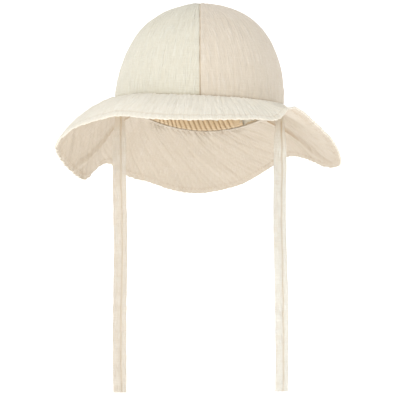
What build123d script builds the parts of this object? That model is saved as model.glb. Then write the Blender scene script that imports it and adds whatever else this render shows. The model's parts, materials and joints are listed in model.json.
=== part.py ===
"""Baby's double-gauze sun hat: four-panel crown, floppy brim, neck flap and chin ties.

+Z is up and the front of the hat faces -Y, so the wearer's left is +X. The origin is the middle
of the head opening. Azimuths are in degrees from the front, positive towards the wearer's left.
"""

from build123d import *
from bisect import bisect_right
from math import atan, cos, degrees, hypot, radians, sin, tan
import os

# ---------------------------------------------------------------- driving dimensions (mm)
opening_half_width = 75.0
opening_half_depth = 85.0
crown_height = 80.5
crown_fullness = 2.3  # exponent of the crown's profile: 2 is an ellipse, more is boxier
crown_flare = 5.0  # how much the crown still widens in a straight line down to the opening
seam_drop = 6.5  # front of the crown seam below the opening's plane
back_dip = 21.9  # how much lower the crown seam sits at the nape
back_dip_power = 1.7
roll = 2.4  # degrees that the seam tips down towards the wearer's left

cloth = 0.6  # one layer of double gauze
layer_gap = 0.4  # air between the two layers of the crown and the brim
trim_gap = 0.3  # between the lining, the tape and the stitching on them
stitch_gap = 0.1  # between a crown panel's lower edge and the brim
panel_gap = 0.05  # between the two sides of a sewn seam

tape_height = 10.0  # inner tape over the crown seam
tape_thickness = 0.5
elastic_width = 8.0
elastic_thickness = 0.9
casing_hem = 2.0  # flat cloth above and below the elastic
casing_room = 0.4  # loose space round the elastic inside its casing
casing_right = 39.0  # degrees from the nape to the casing's end on the wearer's right
casing_left = 31.0
tack_width = 2.0  # stitched bar that holds each end of the elastic
tack_thickness = 0.5

fold_front = 95.0  # the front brim turns up about a line this far in front of the origin
fold_back = 95.0  # the neck flap turns up about a line this far behind it
fold_gap = 3.0  # cloth left out along each fold

tie_width = 12.0
tie_thickness = 1.6
tie_root_width = 7.0  # the tie is pinched where it is sewn in
tie_root_length = 13.0  # from the swing axis to the lower end of the pinched part
tie_joint_gap = 1.6  # between the pinched part and the free length
tie_seam_clearance = 6.0  # the swing axis below the crown seam
tie_stagger = 3.5  # the two ties hang this far before and behind the side seams

# Hem of the brim and the flap: azimuth, reach beyond the crown seam, drop below it, and how far
# the cloth between them bulges out (or sags in, where negative).
hem = [
    (-169.4, 50.7, 57.1, 3),
    (-158.6, 50.8, 52.0, 3),
    (-147.5, 48.7, 49.9, 3),
    (-136.9, 50.3, 42.3, 4),
    (-114.9, 42.1, 66.3, 5),
    (-102.9, 49.8, 58.4, 4.7),
    (-94.4, 54.9, 46.4, 6.7),
    (-83.1, 51.0, 37.6, 6),
    (-71.4, 43.4, 29.8, 3.5),
    (-58.5, 37.5, 24.7, 3.8),
    (-46.4, 39.5, 22.1, 5),
    (-32.5, 42.9, 20.3, 5),
    (-14.1, 46.7, 22.4, 4),
    (0.0, 45.0, 22.8, 3),
    (23.1, 41.8, 20.1, 2),
    (31.9, 39.4, 18.7, 0),
    (39.4, 36.0, 8.4, -3),
    (49.4, 31.8, 8.2, -5),
    (65.8, 33.2, 19.1, -5),
    (82.6, 42.3, 30.8, -4),
    (95.4, 52.5, 46.6, -2),
    (99.9, 53.3, 51.6, 0),
    (109.2, 45.8, 49.8, 2),
    (130.1, 45.5, 34.4, 3),
    (140.6, 48.8, 31.1, 3),
    (151.9, 51.3, 40.7, 3),
    (163.3, 51.7, 51.1, 3),
    (180.0, 50.0, 57.9, 3),
]

# Free length of each tie, top to bottom, in even steps: offsets across and forward of its root.
tie_right_route = [
    (0.0, 0.0),
    (-0.6, -0.5),
    (0.3, 0.4),
    (0.9, -0.3),
    (0.1, 0.5),
    (-0.3, 0.0),
    (0.2, 0.3),
]
tie_left_route = [
    (0.0, 0.0),
    (0.3, 0.5),
    (-0.2, -0.4),
    (0.8, 0.4),
    (1.6, -0.4),
    (1.9, 0.3),
    (1.6, 0.0),
]
tie_bottom = 265.5  # both ties end this far below the opening's plane

apex_opening = 0.7  # degrees short of the apex where the crown panels' points are stitched shut
brim_rows = 61  # points of a brim surface round the hat, and from the crown seam to the hem
brim_columns = 7
wide = 600.0  # larger than the whole hat, for cutting


# ---------------------------------------------------------------- the hat's surfaces
def opening_radius(azimuth):
    """Distance from the vertical axis to the crown seam, at an azimuth."""
    a = radians(azimuth)
    return 1 / hypot(sin(a) / opening_half_width, cos(a) / opening_half_depth)


def seam_height(x, y):
    """Height of the crown seam over a point: level in front, dipping to the nape, and rolled."""
    dip = back_dip * (max(y, 0) / opening_half_depth) ** back_dip_power
    return -seam_drop - dip - x * tan(radians(roll))


def drape(azimuth):
    """Reach, drop and bulge of the brim at an azimuth: a smooth closed curve through the hem list."""
    azimuths = [row[0] for row in hem]
    turn = (azimuth - azimuths[0]) % 360 + azimuths[0]
    count = len(hem)
    i = bisect_right(azimuths, turn) - 1

    def station(k):
        return hem[k % count][0] + 360 * (k // count), hem[k % count][1:]

    (a0, p0), (a1, p1), (a2, p2), (a3, p3) = (station(k) for k in range(i - 1, i + 3))
    t = (turn - a1) / (a2 - a1)
    values = []
    for q0, q1, q2, q3 in zip(p0, p1, p2, p3):
        slope1 = (q2 - q0) / (a2 - a0) * (a2 - a1)
        slope2 = (q3 - q1) / (a3 - a1) * (a2 - a1)
        values.append(
            q1 * (2 * t**3 - 3 * t**2 + 1)
            + slope1 * (t**3 - 2 * t**2 + t)
            + q2 * (3 * t**2 - 2 * t**3)
            + slope2 * (t**3 - t**2)
        )
    return values


def brim_point(azimuth, across, depth):
    """A point of the brim: across is 0 at the crown seam and 1 at the hem, depth is into the cloth."""
    reach, drop, bulge = drape(azimuth)
    a = radians(azimuth)
    seam_radius = opening_radius(azimuth)
    slant = hypot(reach, drop)
    lift = 4 * across * (1 - across) * bulge - depth
    radius = seam_radius + across * reach + lift * drop / slant
    seam = seam_height(seam_radius * sin(a), -seam_radius * cos(a))
    return Vector(radius * sin(a), -radius * cos(a), seam - across * drop + lift * reach / slant)


def crown_point(azimuth, lift, inset):
    """A point of the crown's wall: lift is 0 at the crown seam and 1 at the apex.

    The outline is a superellipse over the opening's plane and upright below it, and inset moves
    the point into the hat.
    """
    a = radians(azimuth)
    half = opening_half_width - crown_flare - inset
    height = crown_height - inset
    seam_radius = opening_radius(azimuth)
    seam = seam_height(seam_radius * sin(a), -seam_radius * cos(a)) + stitch_gap
    lowest = atan(seam / half)
    angle = lowest + lift * (radians(90 - apex_opening) - lowest)
    if angle > 0:
        n = crown_fullness
        length = ((cos(angle) / half) ** n + (sin(angle) / height) ** n) ** (-1 / n)
        radius, z = length * cos(angle), length * sin(angle)
        radius += crown_flare * (1 - z / height)
    else:
        radius, z = half + crown_flare, half * tan(angle)
    radius *= seam_radius / opening_half_width
    return Vector(radius * sin(a), -radius * cos(a), z)


def wall_point(azimuth, above_seam, inset):
    """A point inside the foot of the crown, at a height above the crown seam."""
    a = radians(azimuth)
    seam_radius = opening_radius(azimuth)
    z = seam_height(seam_radius * sin(a), -seam_radius * cos(a)) + above_seam
    half = opening_half_width - crown_flare - inset
    share = max(z, 0) / (crown_height - inset)
    radius = half * (1 - share**crown_fullness) ** (1 / crown_fullness) + crown_flare * (1 - share)
    radius *= seam_radius / opening_half_width
    return Vector(radius * sin(a), -radius * cos(a), z)


def skin(point, azimuths, levels):
    """One smooth face through a grid of points."""
    grid = [[point(azimuth, level) for level in levels] for azimuth in azimuths]
    return Face.make_surface_from_array_of_points(grid, tol=0.02)


def layer(point, azimuth_span, level_span, depth, thickness, rows=25, columns=9):
    """A layer of cloth between two depths, closed by ruled edges round its two faces."""
    azimuths = spread(*azimuth_span, rows)
    levels = spread(*level_span, columns)
    near = skin(lambda azimuth, level: point(azimuth, level, depth), azimuths, levels)
    far = skin(lambda azimuth, level: point(azimuth, level, depth + thickness), azimuths, levels)
    rims = []
    for edge in near.edges():
        partner = min(far.edges(), key=lambda other: (other.center() - edge.center()).length)
        rims.append(Face.make_surface_from_curves(edge, partner))
    return Solid(Shell([near, far, *rims]))


def spread(first, last, count):
    """Evenly spaced values, both ends included."""
    return [first + (last - first) * i / (count - 1) for i in range(count)]


def beyond(brim_layer, line, side):
    """The piece of a layer beyond a fold line: side is -1 in front of the line, 1 behind it."""
    near = line + side * fold_gap / 2
    block = Pos(0, near + side * wide / 2, 0) * Box(wide, wide, wide)
    return max((brim_layer & block).solids(), key=lambda solid: solid.volume)


def write(name, shape):
    """Write one node's solids."""
    shape.label = name
    export_step(shape, f"parts/{name}.step")


os.makedirs("parts", exist_ok=True)

# ---------------------------------------------------------------- crown and lining panels
seam_turn = degrees(panel_gap / 2 / opening_half_width)
lining_face = cloth + layer_gap
quarters = {
    "front_left": (0, 90),
    "back_left": (90, 180),
    "back_right": (180, 270),
    "front_right": (270, 360),
}
for layer_name, inset in (("crown", 0.0), ("lining", lining_face)):
    for quarter_name, (first, last) in quarters.items():
        span = (first + seam_turn, last - seam_turn)
        write(f"{layer_name}_{quarter_name}", layer(crown_point, span, (0, 1), inset, cloth, 19, 19))

# ---------------------------------------------------------------- inner tape and ruched elastic
trim_face = lining_face + cloth + trim_gap
casing_ends = (180 - casing_left, 180 + casing_right)
tape_span = (casing_ends[1] - 360 + seam_turn, casing_ends[0] - seam_turn)
tape_levels = (stitch_gap, stitch_gap + tape_height)
write("seam_tape", layer(wall_point, tape_span, tape_levels, trim_face, tape_thickness, 49, 3))

band_face = trim_face + casing_room
band_foot = casing_hem + casing_room
band_levels = (band_foot, band_foot + elastic_width)
write("elastic_band", layer(wall_point, casing_ends, band_levels, band_face, elastic_thickness, 19, 3))

casing_height = 2 * band_foot + elastic_width
pocket_depth = elastic_thickness + 2 * casing_room


def casing_point(azimuth, above_seam, inset):
    """The casing lies flat on the lining along both edges and stands off it over the elastic."""
    edge = min(above_seam, casing_height - above_seam)
    ramp = min(max(edge / casing_hem, 0), 1)
    return wall_point(azimuth, above_seam, inset + pocket_depth * ramp * ramp * (3 - 2 * ramp))


casing_levels = (stitch_gap, casing_height)
write("elastic_casing", layer(casing_point, casing_ends, casing_levels, trim_face, cloth, 19, 27))

tack_face = trim_face + pocket_depth + cloth + trim_gap
tack_turn = degrees(tack_width / opening_half_depth)
tacks = []
for end, inward in ((casing_ends[0], 1), (casing_ends[1], -1)):
    tack_span = sorted((end, end + inward * tack_turn))
    tacks.append(layer(wall_point, tack_span, band_levels, tack_face, tack_thickness, 3, 3))
write("elastic_tacks", Compound(tacks))

# ---------------------------------------------------------------- front brim and neck flap
under_face = cloth + layer_gap
front_span = (-90 + seam_turn, 90 - seam_turn)
back_span = (90 + seam_turn, 270 - seam_turn)
for name, depth in (("brim_upper", 0.0), ("brim_under", under_face)):
    whole = layer(brim_point, front_span, (0, 1), depth, cloth, brim_rows, brim_columns)
    write(f"{name}_sides", beyond(whole, -fold_front, 1))
    write(f"{name}_peak", beyond(whole, -fold_front, -1))
for name, depth in (("flap_outer", 0.0), ("flap_inner", under_face)):
    whole = layer(brim_point, back_span, (0, 1), depth, cloth, brim_rows, brim_columns)
    write(f"{name}_sides", beyond(whole, fold_back, -1))
    write(f"{name}_tail", beyond(whole, fold_back, 1))


# ---------------------------------------------------------------- chin ties
def tie_route(side, stagger, offsets):
    """The middle line of a tie's free length: its points, and a radius for every corner."""
    x0 = side * (opening_half_width - tie_root_width / 2)
    pivot_z = seam_height(side * opening_half_width, 0) - tie_seam_clearance
    top = pivot_z - tie_root_length - tie_joint_gap
    steps = len(offsets) - 1
    points = []
    for i, (across, forward) in enumerate(offsets):
        z = top - (tie_bottom + top) * i / steps
        points.append(Vector(x0 + across, stagger - forward, z))
    radii = []
    for before, here, after in zip(points, points[1:], points[2:]):
        turn = radians((here - before).get_angle(after - here))
        shorter = min((here - before).length, (after - here).length)
        radii.append(0.45 * shorter / tan(turn / 2))
    return points, radii


for name, side, stagger, offsets in (
    ("right", -1, -tie_stagger, tie_right_route),
    ("left", 1, tie_stagger, tie_left_route),
):
    points, radii = tie_route(side, stagger, offsets)
    path = FilletPolyline(*points, radius=radii)
    start = Plane(points[0], x_dir=(1, 0, 0), z_dir=points[1] - points[0])
    strip = sweep(start * Rectangle(tie_width, tie_thickness), path=path)
    write(f"tie_{name}", strip)
    print(f"tie_{name}: length {path.length:.1f}, radii", [round(r) for r in radii])
    print(f"  volume over section times length {strip.volume / (tie_width * tie_thickness * path.length):.4f}")

    pivot = Vector(points[0].X, stagger, points[0].Z + tie_joint_gap + tie_root_length)
    half_root, half_width = tie_root_width / 2, tie_width / 2
    flank = Polyline(
        (-half_root, 0), (-half_width, -tie_root_length), (half_width, -tie_root_length), (half_root, 0)
    )
    crest = RadiusArc((-half_root, 0), (half_root, 0), half_root)
    root_face = Plane.XZ * make_face(Curve() + [*flank.edges(), crest])
    root = Pos(*pivot) * extrude(root_face, amount=tie_thickness / 2, both=True)
    write(f"tie_{name}_root", root)
    print(f"  swing axis {pivot}, fold axis height {points[0].Z + tie_joint_gap / 2:.2f}")
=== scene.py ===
"""Looks for a baby's double-gauze sun hat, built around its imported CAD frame.

The frame is in metres with +Z up. The hat faces -Y, so the wearer's left is +X. Azimuths are in
degrees from the front, positive towards the wearer's left.
"""

from __future__ import annotations

import json
import logging
import math
from dataclasses import dataclass, field
from enum import Enum

import bpy
import numpy as np
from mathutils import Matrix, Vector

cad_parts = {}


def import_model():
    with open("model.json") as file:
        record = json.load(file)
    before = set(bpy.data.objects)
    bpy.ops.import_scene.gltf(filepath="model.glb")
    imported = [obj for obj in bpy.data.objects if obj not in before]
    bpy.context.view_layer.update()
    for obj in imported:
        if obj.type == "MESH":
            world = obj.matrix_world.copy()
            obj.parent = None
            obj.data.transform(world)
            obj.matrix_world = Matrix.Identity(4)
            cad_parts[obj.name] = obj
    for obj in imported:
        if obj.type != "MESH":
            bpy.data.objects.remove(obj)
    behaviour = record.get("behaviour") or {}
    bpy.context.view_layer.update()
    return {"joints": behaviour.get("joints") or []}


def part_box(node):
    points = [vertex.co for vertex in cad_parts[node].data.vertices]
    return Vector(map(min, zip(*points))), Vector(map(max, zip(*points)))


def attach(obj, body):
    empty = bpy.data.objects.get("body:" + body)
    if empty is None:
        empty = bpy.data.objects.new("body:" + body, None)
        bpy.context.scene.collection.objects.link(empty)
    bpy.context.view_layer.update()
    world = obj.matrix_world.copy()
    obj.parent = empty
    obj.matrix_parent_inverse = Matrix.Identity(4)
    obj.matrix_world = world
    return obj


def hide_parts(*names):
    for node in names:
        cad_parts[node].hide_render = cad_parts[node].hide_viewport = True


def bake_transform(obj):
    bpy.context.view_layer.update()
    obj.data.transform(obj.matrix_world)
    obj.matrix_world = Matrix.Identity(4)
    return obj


log = logging.getLogger("sun_hat")

MM = 0.001
Colour = tuple[float, float, float]
Place = tuple[float, float, float]
Array = np.ndarray


# ------------------------------------------------------------------------------ shader maths
class Signal:
    """A number that travels between shader nodes, with the usual arithmetic."""

    def __init__(self, tree: "Tree", socket: bpy.types.NodeSocket) -> None:
        """Wrap an output socket of a tree."""
        self.tree = tree
        self.socket = socket

    def maths(self, operation: str, *others: "Signal | float", clamp: bool = False) -> "Signal":
        """Apply a Math node to this signal and the others, in order.

        Args:
            operation: the Math node's operation.
            others: the other inputs, in order.
            clamp: whether the result is kept between 0 and 1.

        Returns:
            The result, as a signal.
        """
        inputs = dict(enumerate((self, *others)))
        node = self.tree.node("ShaderNodeMath", {"operation": operation, "use_clamp": clamp}, inputs)
        return Signal(self.tree, node.outputs[0])

    def _reflected(self, operation: str, other: float) -> "Signal":
        """Apply a Math node with a plain number in front of this signal."""
        node = self.tree.node("ShaderNodeMath", {"operation": operation}, {0: other, 1: self})
        return Signal(self.tree, node.outputs[0])

    def __add__(self, other: "Signal | float") -> "Signal":
        """Sum."""
        return self.maths("ADD", other)

    def __radd__(self, other: float) -> "Signal":
        """Sum with a number in front."""
        return self._reflected("ADD", other)

    def __sub__(self, other: "Signal | float") -> "Signal":
        """Difference."""
        return self.maths("SUBTRACT", other)

    def __rsub__(self, other: float) -> "Signal":
        """Difference with a number in front."""
        return self._reflected("SUBTRACT", other)

    def __mul__(self, other: "Signal | float") -> "Signal":
        """Product."""
        return self.maths("MULTIPLY", other)

    def __rmul__(self, other: float) -> "Signal":
        """Product with a number in front."""
        return self._reflected("MULTIPLY", other)

    def ridge(self) -> "Signal":
        """Turn noise about one half into creases: 1 in a sharp valley line, 0 away from it."""
        return 1.0 - ((self - 0.5).maths("ABSOLUTE") * 5.0).maths("MINIMUM", 1.0)


class Tree:
    """The node tree of one material."""

    def __init__(self, name: str) -> None:
        """Make an empty material with an output node.

        Args:
            name: the material's name.
        """
        self.material = bpy.data.materials.new(name)
        self.material.use_nodes = True
        self.nodes = self.material.node_tree.nodes
        self.links = self.material.node_tree.links
        self.nodes.clear()

    def node(self, kind: str, settings: dict, inputs: dict) -> bpy.types.Node:
        """Add a node.

        Args:
            kind: the node's type name.
            settings: its properties, set first.
            inputs: a value, Signal or output socket for each input socket, by name or place.

        Returns:
            The new node.
        """
        made = self.nodes.new(kind)
        for key, value in settings.items():
            setattr(made, key, value)
        for key, value in inputs.items():
            socket = made.inputs[key]
            if isinstance(value, Signal):
                self.links.new(value.socket, socket)
            elif isinstance(value, bpy.types.NodeSocket):
                self.links.new(value, socket)
            else:
                socket.default_value = value
        return made

    def noise(self, across_mm: float, along_mm: float, detail: float = 2.0, seed: float = 0.0) -> Signal:
        """Noise on the cloth's own UV map, with grains of the given sizes.

        Args:
            across_mm: size of a grain across the cloth, in millimetres.
            along_mm: size of a grain along the cloth, in millimetres.
            detail: octaves of finer noise.
            seed: place in the noise, so that finishes differ.

        Returns:
            The noise, as a signal.
        """
        uv = self.node("ShaderNodeUVMap", {"uv_map": "cloth"}, {})
        scale = (1 / (across_mm * MM), 1 / (along_mm * MM), 1.0)
        place = self.node(
            "ShaderNodeMapping", {}, {"Vector": uv.outputs["UV"], "Scale": scale, "Location": (seed, -seed, seed)}
        )
        made = self.node(
            "ShaderNodeTexNoise", {}, {"Vector": place.outputs[0], "Scale": 1.0, "Detail": detail, "Roughness": 0.55}
        )
        return Signal(self, made.outputs[0])

    def attribute(self, name: str) -> Signal:
        """A number stored on the mesh."""
        made = self.node("ShaderNodeAttribute", {"attribute_name": name}, {})
        return Signal(self, made.outputs["Fac"])

    def mix(self, factor: Signal, first: Colour | bpy.types.NodeSocket, second: Colour) -> bpy.types.NodeSocket:
        """Mix two colours by a signal.

        Args:
            factor: share of the second colour.
            first: the first colour.
            second: the second colour.

        Returns:
            The mixed colour's socket.
        """
        values = [c if isinstance(c, bpy.types.NodeSocket) else (*c, 1.0) for c in (first, second)]
        made = self.node(
            "ShaderNodeMix", {"data_type": "RGBA", "clamp_factor": True}, {0: factor, 6: values[0], 7: values[1]}
        )
        return made.outputs[2]

    def finish(self, colour: bpy.types.NodeSocket, roughness: Signal, height_mm: Signal, sheen: float) -> None:
        """Close the tree with a Principled shader whose bump takes a height in millimetres.

        Args:
            colour: the colour.
            roughness: the surface's roughness.
            height_mm: bump height in millimetres.
            sheen: weight of the cloth's sheen.
        """
        bump = self.node("ShaderNodeBump", {}, {"Strength": 1.0, "Distance": MM, "Height": height_mm})
        shader = self.node(
            "ShaderNodeBsdfPrincipled",
            {},
            {
                "Base Color": colour,
                "Roughness": roughness,
                "Normal": bump.outputs[0],
                "Sheen Weight": sheen,
                "Sheen Roughness": 0.6,
                "Specular IOR Level": 0.18,
            },
        )
        self.node("ShaderNodeOutputMaterial", {}, {"Surface": shader.outputs[0]})


# ------------------------------------------------------------------------------ finishes
@dataclass(frozen=True)
class Gauze:
    """Crinkled double gauze: loose warp and weft, small slubs, and creases along the warp, with painted shade in the
    creases and wherever the mesh's shade attribute is set.
    """

    name: str
    colour: Colour
    # the colour of painted shade, mixed in by the mesh's shade attribute
    deep: Colour = (0.60, 0.46, 0.30)
    crinkle_mm: float = 2.3
    crinkle_length_mm: float = 24.0
    crinkle_height: float = 0.45
    weave_height: float = 0.07
    seed: float = 0.0

    def material(self) -> bpy.types.Material:
        """Build the material.

        Returns:
            The cloth's material.
        """
        tree = Tree(self.name)
        warp = tree.noise(0.75, 11.0, 2.0, self.seed + 1)
        weft = tree.noise(11.0, 0.75, 2.0, self.seed + 2)
        crease = tree.noise(self.crinkle_mm, self.crinkle_length_mm, 3.0, self.seed + 3).ridge()
        fine = tree.noise(self.crinkle_mm * 0.45, self.crinkle_length_mm * 0.4, 2.0, self.seed + 4).ridge()
        cloud = tree.noise(26.0, 34.0, 3.0, self.seed + 5)
        height = (warp + weft) * self.weave_height - crease * self.crinkle_height - fine * 0.08
        threads = (warp + weft) * 0.5
        thin = tuple(c * f for c, f in zip(self.colour, (0.90, 0.87, 0.82)))
        bright = tuple(min(1.0, c * 1.05) for c in self.colour)
        colour = tree.mix((threads - 0.36) * 3.6, thin, bright)
        dull = tuple(c * f for c, f in zip(self.colour, (0.97, 0.955, 0.925)))
        # painted shade: the colour is darkened along the crinkle creases
        crease_shade = tuple(c * f for c, f in zip(self.colour, (0.88, 0.83, 0.74)))
        colour = tree.mix((cloud - 0.42) * 1.3, colour, dull)
        colour = tree.mix(crease * 0.42 + fine * 0.2, colour, crease_shade)
        # painted shade: mixed towards the deep colour by the mesh's shade attribute
        colour = tree.mix(tree.attribute("shade"), colour, self.deep)
        tree.finish(colour, 0.80 + threads * 0.16, height, 0.22)
        return tree.material


@dataclass(frozen=True)
class Thread:
    """Cotton sewing thread with a slight twist."""

    name: str = "thread"
    colour: Colour = (0.85, 0.80, 0.68)

    def material(self) -> bpy.types.Material:
        """Build the material.

        Returns:
            The thread's material.
        """
        tree = Tree(self.name)
        ply = tree.noise(0.25, 0.6, 1.0)
        colour = tree.mix(ply, tuple(c * 0.86 for c in self.colour), self.colour)
        tree.finish(colour, 0.6 + ply * 0.2, ply * 0.06, 0.1)
        return tree.material


@dataclass(frozen=True)
class Ribbed:
    """A woven or braided band with ribs along its length, such as elastic or tape."""

    name: str
    colour: Colour
    rib_mm: float
    rib_height: float

    def material(self) -> bpy.types.Material:
        """Build the material.

        Returns:
            The band's material.
        """
        tree = Tree(self.name)
        uv = tree.node("ShaderNodeUVMap", {"uv_map": "cloth"}, {})
        split = tree.node("ShaderNodeSeparateXYZ", {}, {0: uv.outputs["UV"]})
        turn = 2 * math.pi / (self.rib_mm * MM)
        along = (Signal(tree, split.outputs[0]) * turn).maths("SINE")
        across = (Signal(tree, split.outputs[1]) * turn).maths("SINE")
        weave = along * across * 0.5 + 0.5
        colour = tree.mix(weave, tuple(c * 0.82 for c in self.colour), self.colour)
        tree.finish(colour, 0.7 + weave * 0.15, weave * self.rib_height, 0.1)
        return tree.material


class Cloth(Enum):
    """The finishes of the hat's pieces."""

    CROWN_BRIGHT = Gauze("crown_gauze_bright", (0.825, 0.82, 0.735), seed=0.0)
    CROWN_WARM = Gauze("crown_gauze_warm", (0.815, 0.755, 0.67), seed=7.0, crinkle_height=0.38)
    CROWN_BACK = Gauze("crown_gauze_back", (0.84, 0.79, 0.665), seed=11.0)
    BRIM = Gauze("brim_gauze", (0.945, 0.93, 0.86), seed=17.0, crinkle_mm=1.9, crinkle_height=0.42)
    # The under layers get a darker, warmer copy of the brim gauze: painted shade for the shade under the brim and
    # inside the flap.
    UNDER_SHADED = Gauze(
        "under_gauze",
        (0.73, 0.665, 0.58),
        deep=(0.42, 0.27, 0.13),
        seed=23.0,
        crinkle_length_mm=16.0,
        crinkle_height=0.26,
    )
    LINING = Gauze("lining_gauze", (0.78, 0.68, 0.53), seed=31.0)
    # The ruched casing gets a golden-brown copy of the gauze: painted shade for its shadowed pleats.
    RUCHED_SHADED = Gauze("ruched_gauze_shaded", (0.92, 0.76, 0.55), deep=(0.40, 0.25, 0.11), seed=37.0, crinkle_height=0.2)
    TIE = Gauze("tie_gauze", (0.84, 0.80, 0.735), seed=41.0, crinkle_mm=1.6, crinkle_length_mm=14.0)
    TIE_PALE = Gauze("tie_gauze_pale", (0.94, 0.945, 0.91), seed=47.0, crinkle_mm=1.6, crinkle_length_mm=14.0)
    THREAD = Thread()
    TAPE = Ribbed("cotton_tape", (0.82, 0.77, 0.65), 1.1, 0.10)
    ELASTIC = Ribbed("elastic", (0.80, 0.77, 0.70), 0.9, 0.16)


class Wardrobe:
    """Makes each finish once and puts it on pieces."""

    def __init__(self) -> None:
        """Start with no materials made."""
        self.made: dict[Cloth, bpy.types.Material] = {}

    def dress(self, piece: bpy.types.Object, cloth: Cloth, slot: str) -> None:
        """Give a piece its material.

        Args:
            piece: the piece to dress.
            cloth: its finish.
            slot: not used.
        """
        if cloth not in self.made:
            self.made[cloth] = cloth.value.material()
        piece.data.materials.append(self.made[cloth])


# ------------------------------------------------------------------------------ cloth meshes
@dataclass(frozen=True)
class Relief:
    """Smooth random relief over flat cloth, the same at every run."""

    seed: int
    side: int = 64

    def at(self, x: Array, y: Array) -> Array:
        """Value noise between -1 and 1: random numbers on a square lattice, eased between corners.

        Args:
            x: first coordinate, in lattice steps.
            y: second coordinate, in lattice steps.

        Returns:
            The relief at each point.
        """
        table = np.random.default_rng(self.seed).uniform(-1, 1, (self.side, self.side))
        x, y = np.broadcast_arrays(np.asarray(x, float), np.asarray(y, float))
        column, row = np.floor(x).astype(int), np.floor(y).astype(int)
        fx, fy = x - column, y - row
        ex, ey = (f * f * f * (f * (f * 6 - 15) + 10) for f in (fx, fy))
        c0, c1, r0, r1 = (k % self.side for k in (column, column + 1, row, row + 1))
        low = table[r0, c0] * (1 - ex) + table[r0, c1] * ex
        high = table[r1, c0] * (1 - ex) + table[r1, c1] * ex
        return low * (1 - ey) + high * ey

    def creases(self, x: Array, y: Array) -> Array:
        """Ridged noise: 0 at a sharp valley line, up to 1 on the swells between."""
        return np.minimum(np.abs(self.at(x, y)) * 1.6, 1.0)


def ease(t: Array) -> Array:
    """Smooth step from 0 to 1 as t goes from 0 to 1."""
    t = np.clip(t, 0, 1)
    return t * t * (3 - 2 * t)


def hump(t: Array, width: float) -> Array:
    """A bell of height 1 at zero, falling over the given width."""
    return np.exp(-((t / width) ** 2))


def cavity(relief: Array, depth: float, spread: int = 5) -> Array:
    """How deep each point lies below its surroundings, as a share of depth between 0 and 1.

    Args:
        relief: height of the cloth at each grid point.
        depth: the hollow that counts as fully dark.
        spread: grid steps over which the surroundings are averaged.

    Returns:
        A share between 0 and 1 at each point.
    """
    soft = relief.copy()
    for _ in range(spread):
        for axis in (0, 1):
            pad = np.pad(soft, [(1, 1) if a == axis else (0, 0) for a in (0, 1)], mode="edge")
            ahead = np.take(pad, range(2, pad.shape[axis]), axis)
            behind = np.take(pad, range(pad.shape[axis] - 2), axis)
            soft = (soft * 2 + ahead + behind) / 4
    return np.clip((soft - relief) / depth, 0, 1)


def grid_normals(points: Array) -> Array:
    """Unit normals of a grid of points: along its rows, crossed with along its columns."""
    normal = np.cross(np.gradient(points, axis=0), np.gradient(points, axis=1))
    return normal / np.maximum(np.linalg.norm(normal, axis=2, keepdims=True), 1e-12)


def make_object(name: str, vertices: Array, faces: list | Array, uv: Array, shade: Array | None) -> bpy.types.Object:
    """Put vertices, faces, a UV per vertex and the shade of each vertex into a new object.

    Args:
        name: the object's name.
        vertices: points by 3.
        faces: the corner numbers of each face.
        uv: cloth coordinates of each vertex.
        shade: painted shade of each vertex, 0 to 1.

    Returns:
        The new object, at the origin.
    """
    mesh = bpy.data.meshes.new(name)
    mesh.from_pydata(vertices.tolist(), [], faces if isinstance(faces, list) else faces.tolist())
    corners = np.zeros(len(mesh.loops), np.int32)
    mesh.loops.foreach_get("vertex_index", corners)
    layer = mesh.uv_layers.new(name="cloth")
    layer.data.foreach_set("uv", uv[corners].astype(np.float32).ravel())
    if shade is not None:
        store = mesh.attributes.new("shade", "FLOAT", "POINT")
        store.data.foreach_set("value", shade.astype(np.float32))
    mesh.polygons.foreach_set("use_smooth", np.ones(len(mesh.polygons), bool))
    mesh.update()
    mesh.set_sharp_from_angle(angle=math.radians(55))
    piece = bpy.data.objects.new(name, mesh)
    bpy.context.scene.collection.objects.link(piece)
    return piece


def cloth_shell(name: str, outer: Array, thickness: float, uv: Array, shade: Array) -> bpy.types.Object:
    """A closed sheet of cloth from a grid of outer points.

    The inner face lies a thickness below the outer one along its normals, and quads round the
    four edges close it. Rows crossed with columns point outwards.

    Args:
        name: the piece's name.
        outer: grid of points, rows by columns by 3.
        thickness: thickness of the cloth.
        uv: grid of cloth coordinates in metres.
        shade: grid of painted shade at each point, from 0 to 1.

    Returns:
        The piece.
    """
    rows, columns = outer.shape[:2]
    inner = outer - grid_normals(outer) * thickness
    vertices = np.concatenate([outer.reshape(-1, 3), inner.reshape(-1, 3)])
    index = np.arange(rows * columns).reshape(rows, columns)
    a, b, c, d = index[:-1, :-1], index[1:, :-1], index[1:, 1:], index[:-1, 1:]
    top = np.stack([a, b, c, d], -1).reshape(-1, 4)
    below = top[:, ::-1] + rows * columns
    loop = np.concatenate([index[:-1, 0], index[-1, :-1], index[:0:-1, -1], index[0, :0:-1]])
    ahead = np.roll(loop, -1)
    rim = np.stack([loop, loop + rows * columns, ahead + rows * columns, ahead], -1)
    faces = np.concatenate([top, below, rim])
    return make_object(name, vertices, faces, np.tile(uv.reshape(-1, 2), (2, 1)), np.tile(shade.ravel(), 2))


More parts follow.
